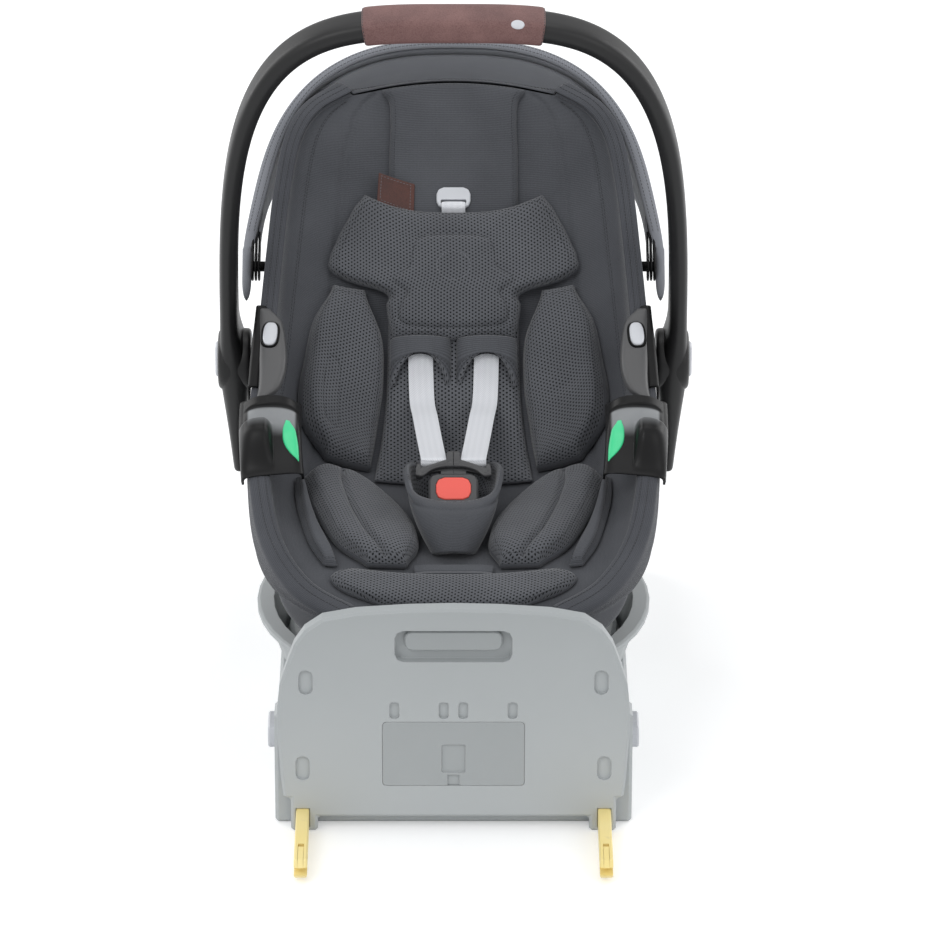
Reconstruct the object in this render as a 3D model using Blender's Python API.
"""Infant carrier clicked into a swivelling base with two rear anchor arms.

Frame: metres, +Z up, +X to the right of someone who looks into the seat.
The foot end and the anchor arms point to -Y. The origin lies on the base's
underside, straight below the axis on which the seat turns.
"""
import bpy
import bmesh
import numpy as np
from math import cos, hypot, pi, radians, sin
from mathutils import Vector

# Units and clearances
MM = 0.001
GAP = 0.3 * MM
OVERRUN = 5 * MM

# Base
CHASSIS_HALF = 166 * MM
CHASSIS_TOP = 62 * MM
CHASSIS_REAR = 290 * MM
CHASSIS_EDGE = 6 * MM
CHASSIS_REAR_DROP = 17 * MM
SHOULDER_TOP = 114 * MM
SHOULDER_DEEP = 40 * MM
SHOULDER_FOOT = 66 * MM
PLATE_FRONT = 275 * MM
PLATE_THICK = 16.3 * MM
PLATE_HALF = 162.5 * MM
PLATE_TOP = 230 * MM
PLATE_BOTTOM = 15 * MM
PLATE_EDGE = 2.5 * MM
BOWL_TOP = 108 * MM
BOWL_LIP = 9 * MM
BOWL_WALL = 7 * MM
SLEEVE_INNER = 126 * MM
SLEEVE_OUTER = 151 * MM

# Anchor arms
ARM_SPREAD = 140 * MM
ARM_WIDE = 12 * MM
ARM_TALL = 19 * MM
ARM_FLOOR = 4.5 * MM
ARM_LONG = 250 * MM
ARM_REACH = 104 * MM
ARM_TRAVEL = 70 * MM
ARM_FIT = 0.5 * MM
JAW_THICK = 5 * MM
JAW_LONG = 32 * MM
JAW_PIVOT_BACK = 25 * MM
JAW_PIN_RADIUS = 2.5 * MM
MOUTH_DEEP = 14 * MM
MOUTH_TALL = 8 * MM

# Swivel
BEARING_RADIUS = 120 * MM
BEARING_WIDE = 18 * MM
BEARING_TALL = 4 * MM
TURNTABLE_RADIUS = 158 * MM
TURNTABLE_TALL = 16 * MM
CRADLE_HALF = 94 * MM
CRADLE_FRONT = 124 * MM
CRADLE_REAR = 66 * MM
CRADLE_EDGE = 12 * MM
CRADLE_CHEEK = 16 * MM
# The bowl clears the turntable and the cradle's corners
BOWL_CLEAR = 5 * MM
BOWL_FOOT_WALL = 5 * MM
BOWL_FLARE = 26 * MM
BOWL_INNER = max(TURNTABLE_RADIUS, hypot(CRADLE_HALF, CRADLE_FRONT)) + BOWL_CLEAR
BOWL_FOOT_RADIUS = BOWL_INNER + BOWL_FOOT_WALL
BOWL_TOP_RADIUS = BOWL_INNER + BOWL_FLARE

# Support leg, stowed under the base
LEG_AXIS_Y = 268 * MM
LEG_AXIS_Z = 27 * MM
LEG_WIDE = 40 * MM
LEG_TALL = 24 * MM
LEG_LONG = 190 * MM
LEG_WALL = 2.5 * MM
LEG_PIN_RADIUS = 5 * MM
LEG_INNER_SHOW = 22 * MM
LEG_FOOT_LONG = 16 * MM
LEG_FOOT_WIDE = 54 * MM
LEG_FOOT_TALL = 34 * MM
LEG_TRAVEL = 140 * MM
LEG_SIDE_FIT = 3 * MM
LEG_ROOF_FIT = 4 * MM

# Seat shell, lining and rim
SHELL_WALL = 4 * MM
COVER_THICK = 6 * MM
RIM_SOFTNESS = 2.8
# The seat's stations from foot to head, closer in the crease and at the lip
STATION_SHARES = (0, .03, .065, .11, .17, .25, .32, .37, .41, .445, .48, .515, .56, .63, .71, .79, .87,
                  .94, 1)
STEPS_ACROSS = 12

# Handle
HANDLE_Y = 122 * MM
HANDLE_Z = 304 * MM
HANDLE_RADIUS = 388 * MM
HANDLE_THICK = 18 * MM
HANDLE_DEEP = 34 * MM
HANDLE_LEAN = radians(10)
HANDLE_SOFTNESS = 3.6
HANDLE_TAIL = 123 * MM
HUB_RADIUS = 30 * MM
GRIP_HALF = 84 * MM
GRIP_WALL = 3 * MM

# Canopy
CANOPY_Y = 167 * MM
CANOPY_Z = 382 * MM
CANOPY_HALF = 196 * MM
CANOPY_RADIUS = 243 * MM
CANOPY_LEAN = radians(51)
CANOPY_SOFTNESS = 2.6
CANOPY_WALL = 2.2 * MM
CANOPY_STEP = 3.2 * MM

# Side clips of the base, and what the leg and the turntable sink into
SIDE_CLIP_DEEP = 9 * MM
SIDE_CLIP_PROUD = 9 * MM
SIDE_CLIP_TRAVEL = 4 * MM
SIDE_CLIP_Y = -150 * MM
SIDE_CLIP_Z = 42 * MM
SIDE_CLIP_LONG = 40 * MM
SIDE_CLIP_TALL = 26 * MM
LEG_PIN_SEAT = 12 * MM
SPIGOT_RADIUS = 60 * MM
SPIGOT_DEEP = 12 * MM
# Half outline of the front plate as shares of its half width and its top,
# from the middle of the top edge down the right side to the bottom
PLATE_SHARES = (
    (0, 1), (.26, .996), (.55, .982), (.74, .956), (.84, .905), (.9, .84),
    (.94, .76), (.985, .66), (1, .55), (1, .43), (.985, .25), (.97, .15),
)

# What is cut into the front plate
RECESS_WIDE = 108 * MM
RECESS_TALL = 32 * MM
RECESS_Z = 192 * MM
RECESS_DEEP = 9 * MM
LEVER_THICK = 6 * MM
LEVER_TRAVEL = 6 * MM
PANEL_WIDE = 131 * MM
PANEL_TALL = 66 * MM
PANEL_Z = 81 * MM
PANEL_DEEP = 3.5 * MM
WINDOW_WIDE = 22 * MM
WINDOW_TALL = 29 * MM
WINDOW_Z = 76 * MM
WINDOW_DEEP = 1.6 * MM
PANEL_SLOT_WIDE = 9 * MM
PANEL_SLOT_TALL = 17 * MM
SLOT_PLACES = (-54.5 * MM, -9 * MM, 9 * MM, 54.5 * MM)
DIMPLE_PLACES = ((136 * MM, 155 * MM), (139.5 * MM, 66 * MM))
DIMPLE_WIDE = 13 * MM
DIMPLE_TALL = 25 * MM
DIMPLE_DEEP = 3 * MM

# The leg's button
LEG_BUTTON_SIZE = 12 * MM
LEG_BUTTON_PROUD = 1.5 * MM
LEG_BUTTON_SINK = 3.2 * MM

# The hole through the turntable's middle
BOLT_RADIUS = 20 * MM

# The seat's surfaces: stations from the foot lip to the head
LIP_Y = 226 * MM
HEAD_Y = 312 * MM
FLOOR_Z = 214 * MM
HEAD_Z = 516 * MM
# Along the seat's middle line, in Y and Z
SEAT_SPINE = (
    (-LIP_Y, 184 * MM), (-190 * MM, 201 * MM), (-130 * MM, 212 * MM), (-40 * MM, FLOOR_Z),
    (30 * MM, 222 * MM), (85 * MM, 262 * MM), (150 * MM, 338 * MM), (215 * MM, 412 * MM),
    (263 * MM, 464 * MM), (295 * MM, 498 * MM), (HEAD_Y, HEAD_Z),
)
# Along the seat's rim, in Y and Z
SEAT_RIM = (
    (-208 * MM, 196 * MM), (-185 * MM, 213 * MM), (-135 * MM, 242 * MM), (-55 * MM, 292 * MM),
    (30 * MM, 330 * MM), (95 * MM, 358 * MM), (155 * MM, 400 * MM), (210 * MM, 447 * MM),
    (250 * MM, 481 * MM), (277 * MM, 499 * MM), (297 * MM, 509 * MM),
)
# Half the width between the rims
SEAT_HALF = (92 * MM, 134 * MM, 163 * MM, 175 * MM, 174 * MM, 170 * MM, 165 * MM, 158 * MM,
             148 * MM, 130 * MM, 100 * MM)
# The hard shell's inner face lies outside and below the seat
SHELL_SPINE = (
    (-228 * MM, 170 * MM), (-213 * MM, 146 * MM), (-150 * MM, 134 * MM), (-50 * MM, 134 * MM),
    (42 * MM, 152 * MM), (118 * MM, 218 * MM), (183 * MM, 302 * MM), (245 * MM, 384 * MM),
    (290 * MM, 444 * MM), (317 * MM, 484 * MM), (331 * MM, 508 * MM),
)
# How far the cross sections bow along the seat, per station, which rounds its ends
BOW_SHARES = (1, 1, .5, 0, 0, 0, 0, 0, .5, 1, 1)
SLOPE_STEP_SHARE = 0.01
SHELL_OUT = 8 * MM
SHELL_BACK = 9 * MM
# How far the shell's rim stands outside the seat's along Y, per station
RIM_SHIFT_SHARES = (-1, -.6, -.2, 0, 0, 0, 0, .2, .5, .8, 1)

# Pivots on the shell
PIVOT_PIN_RADIUS = 12 * MM
BOSS_ROOT_SHARE = 0.5
PIVOT_PIN_LONG = 12 * MM
CANOPY_PIN_RADIUS = 5 * MM
# The hubs clear the shell's widest place, and the bar stands on them
HUB_CLEAR = 8 * MM
HUB_THICK = 32.5 * MM
BAR_INSET = 2.5 * MM
TAIL_INSET = 12.5 * MM
HUB_FACE = max(SEAT_HALF) + SHELL_OUT + SHELL_WALL + HUB_CLEAR
HUB_OUTER = HUB_FACE + HUB_THICK
HANDLE_HALF = HUB_OUTER - BAR_INSET
TAIL_OUTER = HUB_OUTER - TAIL_INSET

# The cover's rolled edge
COLLAR_LIFT = 1.6 * MM
COLLAR_OUT = 1.5 * MM
COLLAR_FIT = 0.6 * MM
# The collar's thickness, and how far it reaches down the shell, per station
COLLAR_BODY = (7 * MM, 7 * MM, 7 * MM, 6 * MM, 3.5 * MM, 3 * MM, 2.5 * MM, 2.5 * MM,
               2.5 * MM, 2.5 * MM, 2.5 * MM)
COLLAR_SIDE_SHARES = (.11, .11, .11, .10, .035, .025, .025, .025, .03, .04, .05)
COLLAR_SLACK_SHARES = (2.2, 2.3, 1.7, 1, 1, 1, 1, 1, 1, 1, 1)
COLLAR_FOOT_SHARE = 0.13
COLLAR_HEAD_SHARE = 0.03

# How the pads lie on the seat
PAD_SEAT = 1.8 * MM
FLAT_SEAT = 1 * MM
PAD_EDGE = 3 * MM

# Soft pieces: edges are shares of the half width, from the low end to the high end
PANEL_LOW_SHARE = 0.607
PANEL_HIGH_SHARE = 0.982
PANEL_THICK = 12 * MM
PANEL_SHARES = ((-.15, .15), (-.17, .17), (-.18, .18), (-.19, .19), (-.205, .205), (-.25, .25), (-.38, .38))
PILLOW_LOW_SHARE = 0.572
PILLOW_HIGH_SHARE = 0.722
PILLOW_THICK = 15 * MM
PILLOW_FLANK_SEAT = 5 * MM
PILLOW_DIP_SHARE = 0.022
PILLOW_SHARES = ((-.15, .15), (-.165, .165), (-.175, .175), (-.19, .19), (-.44, .44), (-.46, .46),
                 (-.43, .43), (-.40, .40), (-.365, .365), (-.335, .335), (-.29, .29))
WING_LOW_SHARE = 0.395
WING_HIGH_SHARE = 0.618
WING_THICK = 26 * MM
WING_EDGE = 8 * MM
WING_SHARES = ((-.46, -.31), (-.60, -.235), (-.635, -.20), (-.60, -.185), (-.55, -.20), (-.40, -.33))
BACK_LOW_SHARE = 0.375
BACK_HIGH_SHARE = 0.60
BACK_THICK = 11 * MM
BACK_SHARES = ((-.20, .20), (-.18, .18), (-.165, .165), (-.165, .165))
THIGH_LOW_SHARE = 0.168
THIGH_HIGH_SHARE = 0.368
THIGH_THICK = 24 * MM
THIGH_SHARES = ((-.26, -.11), (-.37, -.07), (-.44, -.075), (-.51, -.115), (-.55, -.19), (-.45, -.30))
FRONT_LOW_SHARE = 0.06
FRONT_HIGH_SHARE = 0.16
FRONT_THICK = 13 * MM
FRONT_DIP_SHARE = 0.022
FRONT_SHARES = ((-.30, .30), (-.46, .46), (-.52, .52), (-.50, .50), (-.36, .36))
BOLSTER_LOW_SHARE = 0.165
BOLSTER_HIGH_SHARE = 0.325
BOLSTER_THICK = 13 * MM
BOLSTER_SHARES = ((-.50, -.42), (-.545, -.435), (-.575, -.49), (-.605, -.545), (-.60, -.575))
CROTCH_LOW_SHARE = 0.182
CROTCH_HIGH_SHARE = 0.345
CROTCH_THICK = 27 * MM
CROTCH_SHARES = ((-.045, .045), (-.045, .045), (-.06, .06), (-.085, .085), (-.095, .095))

# Pieces on the rim: side trims and belt guides
RIM_UP_SHARE = 0.97
TRIM_LOW_SHARE = 0.372
TRIM_HIGH_SHARE = 0.515
TRIM_INNER = 11 * MM
TRIM_OUTER = 20.5 * MM
TRIM_SEAT = 5.2 * MM
TRIM_TALL = 12 * MM
TRIM_SKIRT = 12 * MM
TRIM_WALL = 2.4 * MM
TRIM_BUTTON_SHARE = 0.475
TRIM_BUTTON_WIDE = 14 * MM
TRIM_BUTTON_LONG = 27 * MM
TRIM_BUTTON_DEEP = 4 * MM
TRIM_BUTTON_PROUD = 2 * MM
GUIDE_LOW_SHARE = 0.268
GUIDE_HIGH_SHARE = 0.366
GUIDE_INNER = 32 * MM
GUIDE_OUTER = 27.5 * MM
GUIDE_SEAT = 7.6 * MM
GUIDE_TALL = 26 * MM
GUIDE_SKIRT = 40 * MM
GUIDE_WALL = 6 * MM
GUIDE_MIDDLE_SHARE = 0.322
GUIDE_SLOT_WIDE = 15 * MM
GUIDE_SLOT_FLOOR = 5 * MM
INSERT_THICK = 3 * MM
INSERT_WIDE = 30 * MM
INSERT_TALL = 22 * MM

# Harness and buckle: one frame that leans with the buckle's face
BUCKLE_Y = -75 * MM
BUCKLE_Z = 258 * MM
BUCKLE_TILT = radians(35)
BUCKLE_WIDE = 47 * MM
BUCKLE_LOW = 26 * MM
BUCKLE_HIGH = 17 * MM
BUCKLE_DEEP = 16 * MM
BUCKLE_BUTTON_WIDE = 33 * MM
BUCKLE_BUTTON_TALL = 24 * MM
BUCKLE_BUTTON_DEEP = 5 * MM
BUCKLE_BUTTON_TRAVEL = 2.5 * MM
BUCKLE_BUTTON_PROUD = 0.8 * MM
TONGUE_HALF = 35.3 * MM
TONGUE_TOP = 45 * MM
TONGUE_THICK = 4 * MM
TONGUE_POST = 7 * MM
TONGUE_POST_TIP = 6.5 * MM
TONGUE_BLADE = 12 * MM
TONGUE_SLOT_LOW = 29.5 * MM
TONGUE_SLOT_HIGH = 35.5 * MM
STRAP_WIDE = 24 * MM
STRAP_THICK = 1.6 * MM
STRAP_TOP_X = 32 * MM
STRAP_LOW_X = 19 * MM
STRAP_TOP_SHARE = 0.562
STRAP_TOP_LIFT = 17 * MM
STRAP_DRIFT = 1.5 * MM
BLADE_START = 2 * MM
BLADE_FACE = 10 * MM

# Padded arches over the straps
SHOULDER_LOW_SHARE = 0.525
SHOULDER_HIGH_SHARE = 0.566
SHOULDER_HALF = 29 * MM
SHOULDER_TALL = 17 * MM
SHOULDER_WALL = 5 * MM
SHOULDER_SEAT = 13 * MM

# Adjuster flap and the release under it
FLAP_LOW_SHARE = 0.147
FLAP_HIGH_SHARE = 0.170
FLAP_HALF_SHARE = 0.085
FLAP_SEAT = 3.4 * MM
FLAP_THICK = 4 * MM
RELEASE_PLATE_WIDE = 18 * MM
RELEASE_PLATE_LONG = 11 * MM
RELEASE_PLATE_CORNER = 3 * MM
RELEASE_PLATE_LOW = 1.2 * MM
RELEASE_PLATE_HIGH = 2.6 * MM
RELEASE_PLATE_TRAVEL = 2 * MM

# Pull clip
CLIP_LOW_SHARE = 0.706
CLIP_HIGH_SHARE = 0.733
CLIP_WIDE = 33 * MM
CLIP_THICK = 5 * MM

# The handle's ends, hubs and release buttons
TAIL_THICK = 11 * MM
TAIL_DEEP = 30 * MM
HUB_DEEP = 46 * MM
CROWN_THICK = 22 * MM
RELEASE_WIDE = 20 * MM
RELEASE_TALL = 36 * MM
RELEASE_PROUD = 3 * MM
RELEASE_DEEP = 5 * MM
RELEASE_TRAVEL = 2.5 * MM

# How the canopy sections fan out
CANOPY_SPAN = radians(24)
CANOPY_SLIP = radians(2)
CANOPY_ROOT = 20 * MM
CANOPY_EYE = 14 * MM
CANOPY_ARCH_STEPS = 20


def clear_scene():
    """Empty the scene that the script starts in."""
    for obj in list(bpy.data.objects):
        bpy.data.objects.remove(obj, do_unlink=True)


def finish(name, colour, roughness, metallic=0.0):
    """A plain material of one colour."""
    mat = bpy.data.materials.get(name)
    if mat:
        return mat
    mat = bpy.data.materials.new(name)
    mat.use_nodes = True
    shader = mat.node_tree.nodes["Principled BSDF"]
    shader.inputs["Base Color"].default_value = (*colour, 1.0)
    shader.inputs["Roughness"].default_value = roughness
    shader.inputs["Metallic"].default_value = metallic
    return mat


def ribbed_fabric():
    return finish("ribbed_fabric", (0.075, 0.08, 0.09), 0.9)


def knit_fabric():
    return finish("knit_fabric", (0.085, 0.088, 0.1), 0.9)


def canopy_fabric():
    return finish("canopy_fabric", (0.17, 0.175, 0.19), 0.9)


def black_plastic():
    return finish("black_plastic", (0.02, 0.02, 0.021), 0.5)


def grey_plastic():
    return finish("grey_plastic", (0.07, 0.07, 0.075), 0.45)


def pale_plastic():
    return finish("pale_plastic", (0.38, 0.39, 0.39), 0.5)


def white_plastic():
    return finish("white_plastic", (0.72, 0.73, 0.75), 0.4)


def foam():
    return finish("foam", (0.2, 0.2, 0.2), 0.95)


def webbing():
    return finish("webbing", (0.66, 0.67, 0.71), 0.8)


def leather():
    return finish("leather", (0.16, 0.085, 0.08), 0.6)


def steel():
    return finish("steel", (0.55, 0.55, 0.56), 0.3, 1.0)


def arm_paint():
    return finish("arm_paint", (0.95, 0.8, 0.38), 0.45)


def red_plastic():
    return finish("red_plastic", (0.9, 0.16, 0.12), 0.4)


def green_plastic():
    return finish("green_plastic", (0.07, 0.75, 0.36), 0.4)


def rubber():
    return finish("rubber", (0.03, 0.03, 0.03), 0.85)


def piece(name, verts, faces, mat, origin=(0, 0, 0), smooth=True):
    """One named object from world points, with its origin where asked."""
    mesh = bpy.data.meshes.new(name)
    shift = Vector(origin)
    mesh.from_pydata([Vector(v) - shift for v in verts], [], faces)
    bm = bmesh.new()
    bm.from_mesh(mesh)
    bmesh.ops.recalc_face_normals(bm, faces=bm.faces)
    bm.to_mesh(mesh)
    bm.free()
    if smooth:
        mesh.shade_smooth()
        mesh.set_sharp_from_angle(angle=radians(35))
    mesh.materials.append(mat)
    obj = bpy.data.objects.new(name, mesh)
    obj.location = shift
    bpy.context.scene.collection.objects.link(obj)
    return obj


def carrier_of(name, point, parent=None):
    """An empty on a joint's axis, which carries the pieces of one body."""
    empty = bpy.data.objects.new(name, None)
    empty.empty_display_size = OVERRUN
    bpy.context.scene.collection.objects.link(empty)
    empty.location = point
    if parent:
        hang(empty, parent)
    return empty


def hang(obj, parent):
    """Parent an object and keep it where it is in the world."""
    where = Vector((0, 0, 0))
    link = parent
    while link:
        where += link.location
        link = link.parent
    obj.parent = parent
    obj.location = obj.location - where


def helper(obj):
    """Turn an object into a hidden cutter."""
    obj.hide_render = True
    obj.display_type = "WIRE"
    return obj


def join_shape(obj, other, operation, solver="EXACT"):
    """A Boolean that stays on the object."""
    mod = obj.modifiers.new(other.name, "BOOLEAN")
    mod.operation = operation
    mod.object = helper(other)
    mod.solver = solver


def cut(obj, *cutters, solver="EXACT"):
    for cutter in cutters:
        join_shape(obj, cutter, "DIFFERENCE", solver)


def unite(obj, *parts):
    for part in parts:
        join_shape(obj, part, "UNION")


def grid_faces(rows, cols, start=0, flip=False, wrap=False):
    """Quads of a grid whose points are stored row by row."""
    faces = []
    for i in range(rows - 1):
        for j in range(cols if wrap else cols - 1):
            k = (j + 1) % cols
            quad = [start + i * cols + j, start + i * cols + k,
                    start + (i + 1) * cols + k, start + (i + 1) * cols + j]
            faces.append(quad[::-1] if flip else quad)
    return faces


def sheet_faces(rows, cols, start=0, flip=False):
    """Triangles of a grid, split alike on both sides, so that layers nest."""
    faces = []
    for i in range(rows - 1):
        for j in range(cols - 1):
            a = start + i * cols + j
            b, c, d = a + 1, a + cols + 1, a + cols
            pair = ([a, b, c], [a, c, d]) if 2 * j < cols - 1 else ([a, b, d], [b, c, d])
            faces += [tri[::-1] if flip else tri for tri in pair]
    return faces


def loft(name, rings, mat, origin=(0, 0, 0), closed=False, smooth=True):
    """A solid through rings of equal length, capped or closed on itself."""
    cols = len(rings[0])
    verts = [p for ring in rings for p in ring]
    faces = grid_faces(len(rings), cols, wrap=True)
    if closed:
        last = (len(rings) - 1) * cols
        for j in range(cols):
            k = (j + 1) % cols
            faces.append([last + j, last + k, k, j])
    else:
        faces.append(list(range(cols)))
        faces.append([len(verts) - cols + j for j in reversed(range(cols))])
    return piece(name, verts, faces, mat, origin, smooth)


def slab(name, upper, lower, mat, origin=(0, 0, 0)):
    """A solid between two grids of points with the same rows and columns."""
    rows, cols = upper.shape[:2]
    size = rows * cols
    verts = [tuple(p) for p in upper.reshape(-1, 3)]
    verts += [tuple(p) for p in lower.reshape(-1, 3)]
    faces = sheet_faces(rows, cols) + sheet_faces(rows, cols, size, flip=True)
    edge = [j for j in range(cols)]
    edge += [i * cols + cols - 1 for i in range(1, rows)]
    edge += [(rows - 1) * cols + j for j in reversed(range(cols - 1))]
    edge += [i * cols for i in reversed(range(1, rows - 1))]
    for a, b in zip(edge, edge[1:] + edge[:1]):
        faces.append([b, a, a + size, b + size])
    return piece(name, verts, faces, mat, origin)


def prism(name, outline, axis, low, high, mat, origin=(0, 0, 0), smooth=False):
    """An outline pushed along an axis; the outline holds the other two coordinates."""
    def place(p, c):
        if axis == "X":
            return (c, p[0], p[1])
        if axis == "Y":
            return (p[0], c, p[1])
        return (p[0], p[1], c)
    rings = [[place(p, low) for p in outline], [place(p, high) for p in outline]]
    return loft(name, rings, mat, origin, smooth=smooth)


def block(name, low, high, mat, origin=(0, 0, 0)):
    """A box between two corners."""
    outline = [(low[0], low[1]), (high[0], low[1]), (high[0], high[1]), (low[0], high[1])]
    return prism(name, outline, "Z", low[2], high[2], mat, origin)


def round_rect(cx, cy, wide, tall, radius, steps=2):
    """The outline of a rectangle with round corners."""
    points = []
    for k, (sx, sy) in enumerate(((1, 1), (-1, 1), (-1, -1), (1, -1))):
        for i in range(steps + 1):
            a = pi / 2 * (k + i / steps)
            x = cx + sx * (wide / 2 - radius) + radius * cos(a)
            y = cy + sy * (tall / 2 - radius) + radius * sin(a)
            points.append((x, y))
    return points


def circle(cx, cy, radius, steps=16):
    """The outline of a circle."""
    return [(cx + radius * cos(2 * pi * i / steps), cy + radius * sin(2 * pi * i / steps))
            for i in range(steps)]


def turned(name, profile, mat, steps=48, origin=(0, 0, 0)):
    """A closed profile of radius and height turned about the upright axis."""
    rings = []
    for i in range(steps):
        a = 2 * pi * i / steps
        rings.append([(r * cos(a), r * sin(a), z) for r, z in profile])
    return loft(name, rings, mat, origin, closed=True)


def soften(obj, width, segments=1):
    """Round the sharp edges of a piece."""
    mod = obj.modifiers.new("edges", "BEVEL")
    mod.width = width
    mod.segments = segments
    mod.limit_method = "ANGLE"
    mod.angle_limit = radians(40)
    mod.harden_normals = False
    return obj


def sides():
    """The two sides as a word for names and a sign along X."""
    return (("left", -1), ("right", 1))


# The base

def make_chassis(base):
    """Floor tray with raised shoulders behind the front plate."""
    front = -PLATE_FRONT + PLATE_THICK + GAP
    outline = [
        (front, 0), (front, SHOULDER_TOP), (front + SHOULDER_DEEP, SHOULDER_TOP - CHASSIS_EDGE),
        (front + SHOULDER_FOOT, CHASSIS_TOP), (CHASSIS_REAR - SHOULDER_DEEP, CHASSIS_TOP),
        (CHASSIS_REAR, CHASSIS_TOP - CHASSIS_REAR_DROP), (CHASSIS_REAR, 0),
    ]
    chassis = prism("base_chassis", outline, "X", -CHASSIS_HALF, CHASSIS_HALF, pale_plastic())
    soften(chassis, CHASSIS_EDGE / 2)
    tunnel_end = -PLATE_FRONT - ARM_REACH + ARM_LONG + ARM_TRAVEL + OVERRUN
    for side, sign in sides():
        half = ARM_WIDE / 2 + ARM_FIT
        tunnel = block("cut_tunnel_" + side,
                       (sign * ARM_SPREAD - half, front - OVERRUN, ARM_FLOOR - ARM_FIT),
                       (sign * ARM_SPREAD + half, tunnel_end, ARM_FLOOR + ARM_TALL + ARM_FIT),
                       pale_plastic())
        pocket = prism("cut_side_button_" + side, button_outline(GAP), "X",
                       sign * (CHASSIS_HALF - SIDE_CLIP_DEEP), sign * (CHASSIS_HALF + OVERRUN),
                       pale_plastic())
        cut(chassis, tunnel, pocket)
    half = LEG_FOOT_WIDE / 2 + LEG_SIDE_FIT
    roof = LEG_AXIS_Z + LEG_FOOT_TALL / 2 + LEG_ROOF_FIT
    tip = leg_tip()
    bay = block("cut_leg_bay", (-half, tip - LEG_SIDE_FIT, -OVERRUN), (half, CHASSIS_REAR + OVERRUN, roof),
                pale_plastic())
    floor = LEG_AXIS_Z - LEG_FOOT_TALL / 2 - LEG_SIDE_FIT
    run = block("cut_leg_run", (-half, tip - LEG_TRAVEL - LEG_SIDE_FIT, floor), (half, tip, roof),
                pale_plastic())
    pin = prism("cut_leg_pin", circle(LEG_AXIS_Y, LEG_AXIS_Z, LEG_PIN_RADIUS + GAP), "X",
                -half - LEG_PIN_SEAT, half + LEG_PIN_SEAT, pale_plastic())
    spigot = prism("cut_spigot", circle(0, 0, SPIGOT_RADIUS + GAP, 32), "Z",
                   CHASSIS_TOP - SPIGOT_DEEP - GAP, CHASSIS_TOP + OVERRUN, pale_plastic())
    cut(chassis, bay, run, pin, spigot)
    hang(chassis, base)
    return chassis


def button_outline(grow):
    """The side clip's outline in Y and Z."""
    return round_rect(SIDE_CLIP_Y, SIDE_CLIP_Z, SIDE_CLIP_LONG + 2 * grow, SIDE_CLIP_TALL + 2 * grow,
                      SIDE_CLIP_TALL / 3 + grow)


def leg_tip():
    """Where the stowed leg's foot ends along Y."""
    return LEG_AXIS_Y - LEG_LONG - LEG_INNER_SHOW - LEG_FOOT_LONG


def make_plate(base):
    """The upright plate that leans on the car seat's back."""
    right = [(PLATE_HALF * sx, PLATE_TOP * sz) for sx, sz in PLATE_SHARES]
    right += [(SLEEVE_OUTER, PLATE_TOP * PLATE_SHARES[-1][1]), (SLEEVE_OUTER, 0), (SLEEVE_INNER, 0),
              (SLEEVE_INNER, PLATE_BOTTOM)]
    left = [(-x, z) for x, z in reversed(right[1:])]
    plate = prism("front_plate", right + left, "Y", -PLATE_FRONT, -PLATE_FRONT + PLATE_THICK,
                  pale_plastic())
    soften(plate, PLATE_EDGE)
    face = -PLATE_FRONT - OVERRUN
    recess = prism("cut_recess", round_rect(0, RECESS_Z, RECESS_WIDE, RECESS_TALL, RECESS_TALL / 4), "Y",
                   face, -PLATE_FRONT + RECESS_DEEP, pale_plastic())
    panel_room = round_rect(0, PANEL_Z, PANEL_WIDE + 2 * GAP, PANEL_TALL + 2 * GAP, PANEL_DEEP)
    panel = prism("cut_panel", panel_room, "Y", face, -PLATE_FRONT + PANEL_DEEP + GAP, pale_plastic())
    cut(plate, recess, panel)
    slot_z = PANEL_Z + PANEL_TALL / 2 + PANEL_SLOT_TALL / 2 + PANEL_DEEP
    for k, x in enumerate(SLOT_PLACES):
        shape = round_rect(x, slot_z, PANEL_SLOT_WIDE, PANEL_SLOT_TALL, DIMPLE_DEEP)
        slot = prism(f"cut_panel_slot_{k}", shape, "Y", face, -PLATE_FRONT + DIMPLE_DEEP, pale_plastic())
        cut(plate, slot)
    for side, sign in sides():
        for k, (x, z) in enumerate(DIMPLE_PLACES):
            dimple = prism(f"cut_dimple_{side}_{k}",
                           round_rect(sign * x, z, DIMPLE_WIDE, DIMPLE_TALL, DIMPLE_WIDE * 0.45), "Y",
                           face, -PLATE_FRONT + DIMPLE_DEEP, pale_plastic())
            cut(plate, dimple)
        half = ARM_WIDE / 2 + ARM_FIT
        hole = block("cut_plate_arm_" + side,
                     (sign * ARM_SPREAD - half, face, ARM_FLOOR - ARM_FIT),
                     (sign * ARM_SPREAD + half, -PLATE_FRONT + PLATE_THICK + OVERRUN,
                      ARM_FLOOR + ARM_TALL + ARM_FIT), pale_plastic())
        cut(plate, hole)
    hang(plate, base)


def make_storage_cover(base):
    """The cover of the manual's storage, with its window and thumb slot."""
    cover = prism("storage_cover", round_rect(0, PANEL_Z, PANEL_WIDE, PANEL_TALL, PANEL_DEEP), "Y",
                  -PLATE_FRONT, -PLATE_FRONT + PANEL_DEEP, pale_plastic())
    window = prism("cut_window", round_rect(0, WINDOW_Z, WINDOW_WIDE, WINDOW_TALL, WINDOW_DEEP), "Y",
                   -PLATE_FRONT - OVERRUN, -PLATE_FRONT + WINDOW_DEEP, pale_plastic())
    low = PANEL_Z - PANEL_TALL / 2
    thumb = block("cut_thumb", (-WINDOW_WIDE / 4, -PLATE_FRONT - OVERRUN, low - OVERRUN),
                  (WINDOW_WIDE / 4, -PLATE_FRONT + WINDOW_DEEP, low + WINDOW_WIDE / 2), pale_plastic())
    cut(cover, window, thumb)
    hang(cover, base)


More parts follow.
